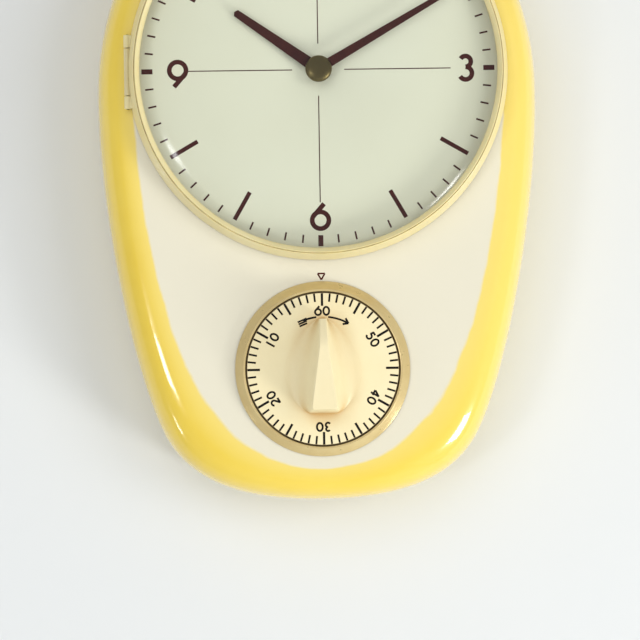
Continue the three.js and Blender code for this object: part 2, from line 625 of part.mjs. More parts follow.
add(clock, "front_plate", frontPlate(), LOOK.brass);
add(clock, "back_plate", backPlate(), LOOK.brass);
PILLARS.forEach((at, i) => {
  const post = cylinder(PILLAR_R, BACK_PLATE.z1 + GAP, FRONT_PLATE.z0 - GAP, at, 10);
  add(clock, `pillar_${i + 1}`, post, LOOK.brass);
});
MOVEMENT_SCREWS.forEach((at, i) => {
  add(clock, `movement_screw_${i + 1}`, screw(MOVEMENT_SCREW, at), LOOK.steel);
});
add(clock, "centre_arbor", joined(
  arbor([0, 0], BACK_PLATE.z0, HUB.z0 - GAP),
  gear({ teeth: GREAT.pinion, module: GREAT.module, phase: GREAT.angle, ...LEVEL.centrePinion }),
), LOOK.steel);
add(clock, "centre_wheel", gear({
  teeth: CENTRE.teeth, module: CENTRE.module, phase: CENTRE.angle, bore: ARBOR_R + GAP, ...LEVEL.centreWheel,
}), LOOK.brass);
add(clock, "cannon_pinion", cannonPinion(), LOOK.steel);
add(clock, "minute_wheel", minuteWheel(), LOOK.brass);
add(clock, "hour_wheel", hourWheel(), LOOK.brass);
add(clock, "mainspring_barrel", mainspringBarrel(), LOOK.brass);
add(clock, "mainspring", spiral({
  from: 4, to: 13, turns: 4, thick: 0.7, at: GREAT_AT, ...LEVEL.mainspring,
}), LOOK.steel);
const barrelArbor = cylinder(BARREL.arbor, BARREL.arborBack, FRONT_PLATE.z1, GREAT_AT, 12);
add(clock, "barrel_arbor", barrelArbor, LOOK.steel);
add(clock, "ratchet_wheel", sawWheel({
  ...RATCHET, bore: BARREL.arbor + GAP, at: GREAT_AT, ...LEVEL.ratchet,
}), LOOK.steel);
add(clock, "winding_key", windingKey(), LOOK.brass);
add(clock, "click", click(), LOOK.steel);
add(clock, "third_wheel", thirdWheel(), LOOK.brass);
add(clock, "escape_wheel", escapeWheel(), LOOK.brass);
add(clock, "pallet_lever", rocker({
  pivot: PALLET_AT, wheelAt: ESCAPE_AT, pinRadius: 8.4, shaft: arbor(PALLET_AT), level: LEVEL.escapeWheel,
}), LOOK.steel);
add(clock, "balance_wheel", balanceWheel(), LOOK.brass);
add(clock, "hairspring", spiral({
  from: 1.6, to: 5, turns: 3, thick: 0.25, at: BALANCE_AT, ...LEVEL.hairspring,
}), LOOK.steel);

// ---- Timer ----
const TIMER_PILLARS = [30, 150, 270].map((angle) => polar(24, angle));
const TIMER_SCREWS = [90, 210, 330].map((angle) => polar(30.4, angle));
const SECOND_AT = polar((TIMER_MAIN.module * (TIMER_MAIN.teeth + TIMER_MAIN.pinion)) / 2, TIMER_MAIN.angle);
const TIMER_ESCAPE_AT = polar(
  (TIMER_SECOND.module * (TIMER_SECOND.teeth + TIMER_SECOND.pinion)) / 2, TIMER_SECOND.angle, SECOND_AT);
const VERGE_AT = [TIMER_ESCAPE_AT[0] + 9.5, TIMER_ESCAPE_AT[1]];
const TIMER_PIVOTS = [SECOND_AT, TIMER_ESCAPE_AT, VERGE_AT];
const HAMMER_AT = [HAMMER.x, HAMMER.y];

// A bar with a narrow end up and a wide end down, whose flanks flare into the disc.
function knobGrip() {
  const steps = 9;
  const halfTop = (s) => 2.3 + 3.5 * s * s;
  const halfFoot = (s) => halfTop(s) + (KNOB.flare - 4) * Math.sin(Math.PI * s) ** 1.3;
  const ringAt = (height) => {
    const spread = (1 - height) ** 2.2;
    const y = (s) => KNOB.up - (KNOB.up + KNOB.down) * s;
    const x = (s) => halfTop(s) + (halfFoot(s) - halfTop(s)) * spread;
    const z = KNOB.z1 - 0.5 + (KNOB.top - KNOB.z1 + 0.5) * height;
    const sides = Array.from({ length: steps + 1 }, (_, i) => i / steps);
    const left = sides.map((s) => new THREE.Vector3(-x(s), y(s), z));
    const right = sides.toReversed().map((s) => new THREE.Vector3(x(s), y(s), z));
    return [...left, ...right];
  };
  return loft([0, 0.12, 0.28, 0.5, 0.75, 1].map(ringAt));
}

function timerKnob() {
  const disc = cylinder(KNOB.r, KNOB.z0, KNOB.z1, [0, 0], ROUND);
  return cut(joined(disc, knobGrip()), cylinder(SPINDLE_R + GAP, 40, 52, [0, 0], 10));
}

function timerRing() {
  const t = TIMER_RING;
  const hoop = turned([
    [t.flange, SEAT_Z], [t.outer, SEAT_Z], [t.outer - 1.2, t.z1 - 0.6],
    [t.outer - 2.2, t.z1], [t.inner + 0.6, t.z1 - 0.2], [t.inner, t.z1 - 0.8], [t.inner, t.flangeZ],
    [t.flange, t.flangeZ],
  ], ROUND);
  const bosses = TIMER_SCREWS.map((at) => cylinder(2.3, TIMER_PLATE.z1 + GAP, SEAT_Z + 0.5, at, 10));
  const holes = TIMER_SCREWS.map((at) => cylinder(TIMER_SCREW_HOLE, TIMER_PLATE.z1 - 1, SEAT_Z, at, 8));
  return cut(joined(hoop, ...bosses), ...holes);
}

function timerFrontPlate() {
  const { r, z0, z1 } = TIMER_PLATE;
  const pillars = TIMER_PILLARS.map((at) => cylinder(TIMER_PILLAR_R, TIMER_BACK.z1 + GAP, z0 + 0.5, at, 10));
  const holes = [
    cylinder(SPINDLE_R + GAP, z0 - 1, z1 + 1, [0, 0], 12),
    cylinder(1 + GAP, z0 - 1, z1 + 1, HAMMER_AT, 8),
    ...TIMER_PIVOTS.map((at) => cylinder(ARBOR_R + GAP, z0 - 1, z1 + 1, at, 8)),
    ...TIMER_SCREWS.map((at) => cylinder(TIMER_SCREW_HOLE, z0 - 1, z1 + 1, at, 8)),
  ];
  return cut(joined(cylinder(r, z0, z1, [0, 0], 28), ...pillars), ...holes);
}

function timerBackPlate() {
  const { r, z0, z1 } = TIMER_BACK;
  const holes = [
    cylinder(SPINDLE_R + GAP, z0 - 1, z1 + 1, [0, 0], 12),
    cylinder(1 + GAP, z0 - 1, z1 + 1, HAMMER_AT, 8),
    ...TIMER_PIVOTS.map((at) => cylinder(ARBOR_R + GAP, z0 - 1, z1 + 1, at, 8)),
  ];
  return cut(cylinder(r, z0, z1, [0, 0], 24), ...holes);
}

const timerArbor = (at) => arbor(at, TIMER_BACK.z0, TIMER_PLATE.z1 - 0.2);

function timerSecondWheel() {
  const { pinion, module, angle } = TIMER_MAIN;
  const { teeth, module: fine, angle: next } = TIMER_SECOND;
  return joined(
    timerArbor(SECOND_AT),
    gear({ teeth: pinion, module, phase: facing(angle, pinion), at: SECOND_AT, ...TIMER_LEVEL.secondPinion }),
    gear({ teeth, module: fine, phase: next, at: SECOND_AT, ...TIMER_LEVEL.secondWheel }),
  );
}

function timerEscapeWheel() {
  const { pinion, module, angle } = TIMER_SECOND;
  const at = TIMER_ESCAPE_AT;
  return joined(
    timerArbor(at),
    gear({ teeth: pinion, module, phase: facing(angle, pinion), at, ...TIMER_LEVEL.escapePinion }),
    sawWheel({ ...TIMER_ESCAPE, at, ...TIMER_LEVEL.escapeWheel }),
  );
}

// A disc with one notch, which lets the trip arm drop at zero.
function tripCam() {
  const { z0, z1 } = TIMER_LEVEL.tripCam;
  const disc = cylinder(TRIP_CAM_R, z0, z1, [0, 0], ROUND);
  const notch = box(3, 4, z0 - 1, z1 + 1, polar(TRIP_CAM_R, 148));
  return cut(disc, notch, cylinder(SPINDLE_R + GAP, z0 - 1, z1 + 1, [0, 0], 10));
}

// A bell cup, rim towards the movement, turned from an arc with a wall of even thickness.
function bell() {
  const arc = (r, back) => [0, 30, 60, 90].map((a) => {
    const [across, up] = polar(1, a);
    return [a === 90 ? 1.6 : r * across, BELL.rim - (BELL.rim - back) * up];
  });
  const outside = arc(BELL.r, BELL.back).reverse();
  const inside = arc(BELL.r - BELL.thick, BELL.back + BELL.thick);
  return turned([...outside, ...inside], 28);
}

function bellPost() {
  const { r, headR, z0, headZ } = BELL_POST;
  return joined(cylinder(r, z0 + 0.3, TIMER_BACK.z0 - GAP, [0, 0], 8), cylinder(headR, z0, headZ, [0, 0], 6));
}

function hammer() {
  const head = [HAMMER.headX, HAMMER.headY];
  const reach = Math.hypot(...HAMMER_AT) - TRIP_CAM_R - 1;
  const toCam = new THREE.Vector2(-HAMMER.x, -HAMMER.y).setLength(reach);
  const tip = [HAMMER.x + toCam.x, HAMMER.y + toCam.y];
  const { hammerHead, hammerArm, tripArm } = TIMER_LEVEL;
  return joined(
    cylinder(1, hammerHead.z0 - 0.5, TIMER_PLATE.z1 - 0.2, HAMMER_AT, 8),
    bar(HAMMER_AT, head, 1.8, hammerArm.z0, hammerArm.z1),
    cylinder(HAMMER.headR, hammerHead.z0, hammerHead.z1, head, 10),
    bar(HAMMER_AT, tip, 1.6, tripArm.z0, tripArm.z1),
  );
}

add(timer, "timer_knob", timerKnob(), LOOK.ivory);
add(timer, "timer_ring", timerRing(), LOOK.brass);
add(timer, "timer_front_plate", timerFrontPlate(), LOOK.brass);
add(timer, "timer_back_plate", timerBackPlate(), LOOK.brass);
TIMER_SCREWS.forEach((at, i) => {
  add(timer, `timer_screw_${i + 1}`, screw(TIMER_SCREW, at), LOOK.steel);
});
add(timer, "timer_spindle", cylinder(SPINDLE_R, TIMER_BACK.z0, 51.6, [0, 0], 12), LOOK.steel);
add(timer, "timer_main_wheel", gear({
  teeth: TIMER_MAIN.teeth, module: TIMER_MAIN.module, phase: TIMER_MAIN.angle, bore: SPINDLE_R + GAP,
  ...TIMER_LEVEL.mainWheel,
}), LOOK.brass);
add(timer, "trip_cam", tripCam(), LOOK.steel);
add(timer, "timer_mainspring", spiral({
  from: 3.4, to: 12, turns: 4, thick: 0.7, ...TIMER_LEVEL.mainspring,
}), LOOK.steel);
add(timer, "timer_second_wheel", timerSecondWheel(), LOOK.brass);
add(timer, "timer_escape_wheel", timerEscapeWheel(), LOOK.brass);
add(timer, "timer_verge", rocker({
  pivot: VERGE_AT, wheelAt: TIMER_ESCAPE_AT, pinRadius: 7.2, shaft: timerArbor(VERGE_AT),
  level: TIMER_LEVEL.escapeWheel,
}), LOOK.steel);
add(timer, "bell", bell(), LOOK.brass);
add(timer, "bell_post", bellPost(), LOOK.steel);
add(timer, "hammer", hammer(), LOOK.steel);

export default part;
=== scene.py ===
import json
import math

import bmesh
import bpy
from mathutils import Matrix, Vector
from mathutils.geometry import tessellate_polygon


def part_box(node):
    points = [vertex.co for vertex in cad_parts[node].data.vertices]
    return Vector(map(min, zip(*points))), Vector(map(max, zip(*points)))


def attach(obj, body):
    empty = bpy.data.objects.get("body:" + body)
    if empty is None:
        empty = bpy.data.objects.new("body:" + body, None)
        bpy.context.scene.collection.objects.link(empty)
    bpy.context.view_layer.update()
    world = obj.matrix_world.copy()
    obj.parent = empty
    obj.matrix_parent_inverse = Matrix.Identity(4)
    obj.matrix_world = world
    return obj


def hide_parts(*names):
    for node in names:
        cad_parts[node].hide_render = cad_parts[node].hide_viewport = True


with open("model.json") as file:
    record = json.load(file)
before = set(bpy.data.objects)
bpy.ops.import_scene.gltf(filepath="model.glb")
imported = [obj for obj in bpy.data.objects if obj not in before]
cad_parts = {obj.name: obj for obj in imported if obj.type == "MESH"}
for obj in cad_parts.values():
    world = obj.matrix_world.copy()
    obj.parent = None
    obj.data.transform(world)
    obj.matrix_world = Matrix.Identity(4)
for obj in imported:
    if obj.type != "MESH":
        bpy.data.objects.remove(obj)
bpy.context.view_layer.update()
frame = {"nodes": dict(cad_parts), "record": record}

MM = 0.001


def centre_of(node):
    low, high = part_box(node)
    return Vector(((low.x + high.x) / 2, 0, (low.z + high.z) / 2))


CLOCK = centre_of("dial_plate")
TIMER = centre_of("timer_ring")
TIMER_Y = (TIMER.z - CLOCK.z) / MM


def depth(node, front=True):
    """How far a CAD node's front or back is from the wall, in millimetres."""
    low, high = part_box(node)
    return -(low.y if front else high.y) / MM


PANEL_Z = depth("ceramic_housing")
DIAL_Z = depth("dial_plate")
KNOB_Z = depth("timer_knob")
HANGER_Y = -CLOCK.z / MM
COVER_SCREWS = ((66, 48.5), (-66, 48.5), (52, -118), (-52, -118))


def to_world(points, origin):
    return [Vector((x * MM + origin.x, -z * MM, y * MM + origin.z)) for x, y, z in points]


# ---- Mesh building ----
def new_piece(name, points, faces, origin, material, body, replaces=(), sharp=32):
    mesh = bpy.data.meshes.new(name)
    mesh.from_pydata(to_world(points, origin), [], faces)
    mesh.materials.append(material)
    piece = bpy.data.objects.new(name, mesh)
    bpy.context.collection.objects.link(piece)
    tidy_mesh(mesh, sharp)
    if replaces:
        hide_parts(*replaces)
    if body:
        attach(piece, body)


def tidy_mesh(mesh, sharp):
    """Merges doubles, turns the faces outwards and marks edges over an angle as sharp."""
    bm = bmesh.new()
    bm.from_mesh(mesh)
    bmesh.ops.remove_doubles(bm, verts=bm.verts, dist=1e-7)
    bmesh.ops.dissolve_degenerate(bm, edges=bm.edges, dist=1e-7)
    bmesh.ops.recalc_face_normals(bm, faces=bm.faces)
    for face in bm.faces:
        face.smooth = True
    for edge in bm.edges:
        if len(edge.link_faces) == 2:
            edge.smooth = edge.calc_face_angle(0) < math.radians(sharp)
    bm.to_mesh(mesh)
    bm.free()


def polar(r, degrees, at=(0, 0)):
    angle = math.radians(degrees)
    return (at[0] + r * math.cos(angle), at[1] + r * math.sin(angle))


def rounded(corners, radii, steps=5):
    """A closed outline with each corner rounded by its radius."""
    if isinstance(radii, (int, float)):
        radii = [radii] * len(corners)
    out = []
    count = len(corners)
    for i, (corner, radius) in enumerate(zip(corners, radii)):
        here = Vector(corner)
        back = Vector(corners[i - 1]) - here
        ahead = Vector(corners[(i + 1) % count]) - here
        if radius <= 0:
            out.append(tuple(here))
            continue
        bend = back.angle(ahead)
        reach = min(radius / math.tan(bend / 2), 0.48 * back.length, 0.48 * ahead.length)
        start = here + back.normalized() * reach
        end = here + ahead.normalized() * reach
        for k in range(steps + 1):
            t = k / steps
            out.append(tuple(start * (1 - t) ** 2 + here * 2 * t * (1 - t) + end * t ** 2))
    return out


def lathe(profile, sides=160, closed=True):
    """Points and faces of [radius, z] pairs turned about the z axis."""
    count = len(profile)
    points = [(*polar(r, 360 * k / sides), z) for k in range(sides) for r, z in profile]
    faces = []
    for k in range(sides):
        a, b = k * count, ((k + 1) % sides) * count
        for i in range(count if closed else count - 1):
            j = (i + 1) % count
            faces.append((a + i, b + i, b + j, a + j))
    return points, faces


def slab(edge, holes, z0, z1):
    """Points and faces of a flat plate with holes."""
    loops = [edge, *holes]
    flat = [p for loop in loops for p in loop]
    caps = tessellate_polygon([[Vector((x, y, 0)) for x, y in loop] for loop in loops])
    count = len(flat)
    points = [(x, y, z1) for x, y in flat] + [(x, y, z0) for x, y in flat]
    faces = [tuple(t) for t in caps] + [tuple(i + count for i in reversed(t)) for t in caps]
    start = 0
    for loop in loops:
        size = len(loop)
        for i in range(size):
            a, b = start + i, start + (i + 1) % size
            faces.append((a, b, b + count, a + count))
        start += size
    return points, faces


def circle(r, sides=64, at=(0, 0)):
    return [polar(r, 360 * k / sides, at) for k in range(sides)]


def merged(*parts):
    """Several [points, faces] pairs as one."""
    points, faces = [], []
    for part_points, part_faces in parts:
        offset = len(points)
        points += part_points
        faces += [tuple(i + offset for i in face) for face in part_faces]
    return points, faces


# ---- Node materials ----
class Look:
    """A Principled material and short calls to build the nodes behind it."""

    def __init__(self, name, **values):
        self.material = bpy.data.materials.new(name)
        self.material.use_nodes = True
        self.tree = self.material.node_tree
        self.tree.nodes.clear()
        self.out = self.tree.nodes.new("ShaderNodeOutputMaterial")
        self.shader = self.tree.nodes.new("ShaderNodeBsdfPrincipled")
        self.tree.links.new(self.shader.outputs[0], self.out.inputs[0])
        self.coords = self.tree.nodes.new("ShaderNodeTexCoord").outputs["Object"]
        for key, value in values.items():
            self.set(key.replace("_", " ").title().replace("Ior", "IOR"), value)

    def set(self, socket, value):
        target = self.shader.inputs[socket]
        if isinstance(value, bpy.types.NodeSocket):
            self.tree.links.new(value, target)
        else:
            target.default_value = value

    def node(self, kind, inputs=None, output=0, **settings):
        made = self.tree.nodes.new("ShaderNode" + kind)
        for key, value in settings.items():
            setattr(made, key, value)
        for key, value in (inputs or {}).items():
            if isinstance(value, bpy.types.NodeSocket):
                self.tree.links.new(value, made.inputs[key])
            else:
                made.inputs[key].default_value = value
        return made.outputs[output]

    def noise(self, scale, detail=3.0, roughness=0.5, stretch=None):
        where = self.coords
        if stretch:
            where = self.node("Mapping", {"Vector": where, "Scale": stretch})
        return self.node("TexNoise", {
            "Vector": where, "Scale": scale, "Detail": detail, "Roughness": roughness})

    def spread(self, value, low, high, to_low=0.0, to_high=1.0):
        return self.node("MapRange", {
            "Value": value, "From Min": low, "From Max": high, "To Min": to_low, "To Max": to_high})

    def mix(self, factor, a, b):
        made = self.tree.nodes.new("ShaderNodeMix")
        made.data_type = "RGBA"
        for index, value in ((0, factor), (6, a), (7, b)):
            if isinstance(value, bpy.types.NodeSocket):
                self.tree.links.new(value, made.inputs[index])
            else:
                made.inputs[index].default_value = value
        return made.outputs[2]

    def math(self, operation, a, b=0.0):
        return self.node("Math", {0: a, 1: b}, operation=operation)

    def bump(self, height, distance, strength=1.0, after=None):
        inputs = {"Height": height, "Distance": distance, "Strength": strength}
        if after is not None:
            inputs["Normal"] = after
        return self.node("Bump", inputs)


def rgb(red, green, blue):
    """A display colour of 0 to 255 as linear light."""
    def linear(c):
        c /= 255
        return c / 12.92 if c <= 0.04045 else ((c + 0.055) / 1.055) ** 2.4
    return (linear(red), linear(green), linear(blue), 1.0)


def glaze_look():
    """Cream front and yellow sides under one clear glaze; the yellow thins to cream at the foot rim."""
    look = Look("two_colour_glaze", roughness=0.16, ior=1.45)
    look.set("Coat Weight", 0.9)
    look.set("Coat Roughness", 0.03)
    edge = look.node("Attribute", attribute_name="edge_mm", output=2)
    wander = look.spread(look.noise(90, 2), 0.3, 0.7, -0.35, 0.35)
    outside = look.math("ADD", edge, wander)
    yellow_mask = look.spread(outside, -0.35, 0.75)
    foot = look.node("SeparateXYZ", {0: look.coords}, output=1)
    foot_mask = look.spread(foot, -0.0008, -0.0003)
    cream = look.mix(look.noise(14, 3), rgb(231, 225, 202), rgb(236, 230, 209))
    pool = look.spread(look.noise(22, 4, 0.6), 0.3, 0.72)
    yellow = look.mix(pool, rgb(244, 214, 84), rgb(240, 206, 66))
    thick = look.spread(edge, 1.0, 7.0)
    yellow = look.mix(thick, look.mix(0.75, yellow, rgb(247, 223, 122)), yellow)
    # Painted light: the yellow is made paler towards the right side, where the light falls.
    painted_right_light = look.spread(look.node("SeparateXYZ", {0: look.coords}, output=0), 0.03, 0.085, 0.0, 0.6)
    yellow = look.mix(painted_right_light, yellow, rgb(247, 223, 122))
    colour = look.mix(yellow_mask, cream, yellow)
    colour = look.mix(foot_mask, colour, rgb(236, 228, 196))
    specks = look.node("TexVoronoi", {"Vector": look.coords, "Scale": 75.0})
    pits = look.spread(specks, 0.012, 0.03, 1.0, 0.0)
    rare = look.spread(look.noise(9, 1), 0.56, 0.6)
    pits = look.math("MULTIPLY", pits, rare)
    colour = look.mix(look.math("MULTIPLY", pits, 0.55), colour, rgb(150, 118, 60))
    look.set("Base Color", colour)
    look.set("Roughness", look.spread(look.noise(35, 3), 0.3, 0.7, 0.13, 0.2))
    ripple = look.bump(look.noise(55, 2), 0.00022, 0.55)
    peel = look.bump(look.noise(420, 2), 0.00002, 0.5, ripple)
    look.set("Normal", peel)
    look.set("Coat Normal", ripple)
    return look.material


def ivory_look(name, pale, deep, roughness, soil_and_shade=0.35, relief=1.0, painted_flank_shade=None):
    """Moulded ivory plastic, yellowed unevenly, with fine scratches, soiling and painted shade in its
    corners, and a painted shade in deep recesses when a colour is given for it.
    """
    look = Look(name, ior=1.5)
    aged = look.spread(look.noise(28, 4, 0.6), 0.3, 0.75)
    colour = look.mix(aged, pale, deep)
    # Soiling and painted shade: corners found by ambient occlusion are darkened patchily towards brown.
    corner = look.node("AmbientOcclusion", {"Distance": 0.0022}, output=1)
    soil_shade_mask = look.math("MULTIPLY", look.spread(corner, 0.35, 0.9, 1.0, 0.0), soil_and_shade)
    soil_shade_mask = look.math("MULTIPLY", soil_shade_mask, look.spread(look.noise(160, 3), 0.25, 0.6))
    colour = look.mix(soil_shade_mask, colour, rgb(120, 92, 48))
    # Painted shade: deep recesses such as the knob grip's flanks are darkened towards a warm brown.
    if painted_flank_shade:
        shade = look.node("AmbientOcclusion", {"Distance": 0.014}, output=1)
        colour = look.mix(look.spread(shade, 0.52, 0.93, 1.0, 0.0), colour, painted_flank_shade)
    look.set("Base Color", colour)
    look.set("Roughness", look.spread(look.noise(90, 4, 0.6), 0.3, 0.75, roughness - 0.06, roughness + 0.08))
    wave = look.bump(look.noise(70, 2), 0.00003, 0.4 * relief)
    scratch = look.bump(look.noise(700, 2), 0.00001, 0.3 * relief, wave)
    look.set("Normal", scratch)
    look.set("Subsurface Weight", 0.0 if painted_flank_shade else 0.1)
    look.set("Subsurface Radius", (0.004, 0.0026, 0.001))
    look.set("Subsurface Scale", 0.4)
    return look.material


def metal_look(name, base, dark, roughness, brush=(1, 1, 1), metallic=1.0, soil_and_shade=0.0):
    """Metal with clouded tarnish, fine brushing, and soiling and painted shade in its corners."""
    look = Look(name, metallic=metallic)
    cloud = look.spread(look.noise(70, 5, 0.65), 0.35, 0.75)
    colour = look.mix(look.math("MULTIPLY", cloud, 0.5), base, dark)
    # Soiling and painted shade: corners found by ambient occlusion are darkened towards dark brown.
    if soil_and_shade:
        corner = look.node("AmbientOcclusion", {"Distance": 0.0015}, output=1)
        soil_shade_mask = look.spread(corner, 0.25, 0.8, soil_and_shade, 0.0)
        colour = look.mix(soil_shade_mask, colour, rgb(70, 44, 14))
    look.set("Base Color", colour)
    look.set("Roughness", look.spread(look.noise(200, 4, 0.6), 0.3, 0.75, roughness, roughness + 0.16))
    grain = look.noise(600, 3, 0.6, stretch=brush)
    look.set("Normal", look.bump(grain, 0.00001, 0.4))
    return look.material


def dial_look():
    """Matt lacquer, pale greenish cream, with a fine tooth and slight yellowing."""
    look = Look("dial_lacquer", roughness=0.55)
    stain = look.spread(look.noise(16, 4, 0.55), 0.3, 0.75)
    colour = look.mix(stain, rgb(225, 226, 205), rgb(221, 221, 198))
    cells = look.node("TexVoronoi", {"Vector": look.coords, "Scale": 240.0})
    freckle = look.spread(cells, 0.02, 0.06, 0.18, 0.0)
    freckle = look.math("MULTIPLY", freckle, look.spread(look.noise(20, 2), 0.5, 0.62))
    look.set("Base Color", look.mix(freckle, colour, rgb(150, 140, 100)))
    look.set("Roughness", look.spread(look.noise(150, 3), 0.3, 0.7, 0.48, 0.62))
    look.set("Normal", look.bump(look.noise(1400, 2), 0.00001, 0.35))
    return look.material


def ink_look(name, colour, worn):
    """Printed or stamped ink with slight unevenness."""
    look = Look(name, roughness=0.45)
    look.set("Specular IOR Level", 0.2)
    look.set("Base Color", look.mix(look.spread(look.noise(500, 3), 0.35, 0.75, 0.0, 0.5), colour, worn))
    look.set("Roughness", look.spread(look.noise(300, 2), 0.3, 0.7, 0.38, 0.55))
    look.set("Normal", look.bump(look.noise(900, 2), 0.00001, 0.3))
    return look.material


def glass_look():
    """Clear glass: it lets light through and mirrors more towards its edge."""
    look = Look("clear_glass")
    tree = look.tree
    clear = tree.nodes.new("ShaderNodeBsdfTransparent")
    clear.inputs[0].default_value = (0.996, 1.0, 0.993, 1)
    gloss = tree.nodes.new("ShaderNodeBsdfGlossy")
    gloss.inputs["Roughness"].default_value = 0.15
    outer_face = look.math("SUBTRACT", 1.0, look.node("NewGeometry", output=6))
    fresnel = look.math("MULTIPLY", look.node("Fresnel", {"IOR": 1.5}), outer_face)
    join = tree.nodes.new("ShaderNodeMixShader")
    tree.links.new(fresnel, join.inputs[0])
    tree.links.new(clear.outputs[0], join.inputs[1])
    tree.links.new(gloss.outputs[0], join.inputs[2])
    tree.links.new(join.outputs[0], look.out.inputs[0])
    tree.nodes.remove(look.shader)
    return look.material


def board_look():
    """Pressed brown fibre board with flecks and short fibres."""
    look = Look("fibre_board", roughness=0.8)
    fibre = look.noise(900, 4, 0.7, stretch=(1, 1, 0.35))
    cloud = look.noise(35, 4)
    colour = look.mix(look.spread(fibre, 0.35, 0.7), rgb(112, 80, 50), rgb(150, 112, 74))
    colour = look.mix(look.spread(cloud, 0.35, 0.75, 0.0, 0.45), colour, rgb(92, 66, 44))
    look.set("Base Color", colour)
    look.set("Roughness", look.spread(fibre, 0.3, 0.7, 0.7, 0.9))
    look.set("Normal", look.bump(fibre, 0.0001, 0.5))
    return look.material


GLAZE = glaze_look()
BEZEL_IVORY = ivory_look("bezel_ivory", rgb(238, 225, 174), rgb(228, 211, 152), 0.34, relief=0.5)
SEAT_IVORY = ivory_look("seat_ivory", rgb(226, 214, 168), rgb(212, 194, 140), 0.38)
# The knob's grip flanks take a painted warm shade.
KNOB_IVORY = ivory_look("knob_ivory", rgb(245, 232, 190), rgb(242, 226, 179), 0.4, soil_and_shade=0.3,
                        painted_flank_shade=rgb(208, 164, 90))
DIAL_LACQUER = dial_look()
CLEAR = glass_look()
DIAL_INK = ink_look("dial_ink", rgb(58, 9, 5), rgb(78, 20, 12))
SCALE_INK = ink_look("scale_ink", rgb(10, 10, 12), rgb(30, 29, 28))
MARK_INK = ink_look("mark_ink", rgb(70, 18, 14), rgb(92, 36, 28))
HAND_LACQUER = ink_look("hand_lacquer", rgb(56, 14, 9), rgb(72, 26, 16))
# The trim ring's corners take soiling and painted shade.
TRIM_BRASS = metal_look("trim_brass", rgb(220, 198, 142), rgb(200, 170, 108), 0.26, metallic=0.35, soil_and_shade=0.9)
HUB_BRASS = metal_look("hub_brass", rgb(120, 108, 72), rgb(74, 62, 38), 0.32)
PLATE_BRASS = metal_look("plate_brass", rgb(216, 184, 112), rgb(166, 132, 76), 0.28, brush=(1, 1, 0.05))
PLAIN_STEEL = metal_look("plain_steel", rgb(168, 170, 172), rgb(110, 108, 104), 0.3, brush=(0.05, 1, 1))
ZINC_STEEL = metal_look("zinc_steel", rgb(196, 196, 190), rgb(150, 148, 138), 0.32)
BELL_NICKEL = metal_look("bell_nickel", rgb(196, 190, 176), rgb(140, 128, 108), 0.2)
FIBRE_BOARD = board_look()

SLOT_LOOKS = {
    "glaze": GLAZE, "bezel_plastic": BEZEL_IVORY, "seat_plastic": SEAT_IVORY, "dial_print": DIAL_LACQUER,
    "clear_glass": CLEAR, "hand_lacquer": HAND_LACQUER, "hub_brass": HUB_BRASS, "trim_brass": TRIM_BRASS,
    "knob_plastic": KNOB_IVORY, "plain_steel": PLAIN_STEEL, "zinc_steel": ZINC_STEEL,
    "movement_brass": PLATE_BRASS, "cover_card": FIBRE_BOARD, "bell_metal": BELL_NICKEL,
}


def dress_cad_nodes():
    """Every CAD node takes the procedural material of its slot."""
    for row in frame["record"]["subparts"]:
        node = frame["nodes"][row["node"]]
        node.data.materials.clear()
        node.data.materials.append(SLOT_LOOKS[row["material_slot"]])


# ---- Ceramic housing ----
OUTER = dict(bottom=-179.5, flat=37.5, corner=(66.7, -150.5), slope=64.3, before=21, after=28.7,
             side=(92.4, -9), below=49.6, above=58, shoulder=54, top=97)
PANEL = dict(bottom=-165.2, flat=25.8, corner=(51.8, -131.1), slope=60.5, before=21.4, after=30.5,
             side=(77, 0), below=49.8, above=45, shoulder=46, top=82)
SIDE_Z = 20
ROLL = 2.7
WALL = 5
CLOCK_HOLE_R = 71
TIMER_HOLE_R = 33
# What the glaze reads as a point's distance outside the panel's edge, in millimetres.
ON_SIDE = 16.0
ON_FOOT = 99
ON_PANEL = -9
INSIDE = -99


def bezier(a, b, c, d, steps):
    """Points along a cubic curve, without its last one."""
    out = []
    for k in range(steps):
        t = k / steps
        weights = ((1 - t) ** 3, 3 * t * (1 - t) ** 2, 3 * t * t * (1 - t), t ** 3)
        out.append(tuple(sum(w * p[i] for w, p in zip(weights, (a, b, c, d))) for i in range(2)))
    return out


def outline(o):
    """A mirrored outline, anticlockwise from the bottom centre."""
    steps = 28
    corner, side = o["corner"], o["side"]
    along = polar(1, o["slope"])
    before = (corner[0] - along[0] * o["before"], corner[1] - along[1] * o["before"])
    after = (corner[0] + along[0] * o["after"], corner[1] + along[1] * o["after"])
    right = bezier((0, o["bottom"]), (o["flat"], o["bottom"]), before, corner, steps)
    right += bezier(corner, after, (side[0], side[1] - o["below"]), side, steps)
    right += bezier(side, (side[0], side[1] + o["above"]), (o["shoulder"], o["top"]), (0, o["top"]), steps)
    right.append((0, o["top"]))
    left = [(-x, y) for x, y in reversed(right[1:-1])]
    return right + left


def inset(points, distance):
    """An outline moved inwards, point for point."""
    out = []
    count = len(points)
    for i in range(count):
        along = (Vector(points[(i + 1) % count]) - Vector(points[i - 1])).normalized()
        x, y = points[i]
        out.append((x - along.y * distance, y + along.x * distance))
    return out


def blended(a, b, t):
    """An outline part of the way from one to another with as many points."""
    return [(p[0] + (q[0] - p[0]) * t, p[1] + (q[1] - p[1]) * t) for p, q in zip(a, b)]


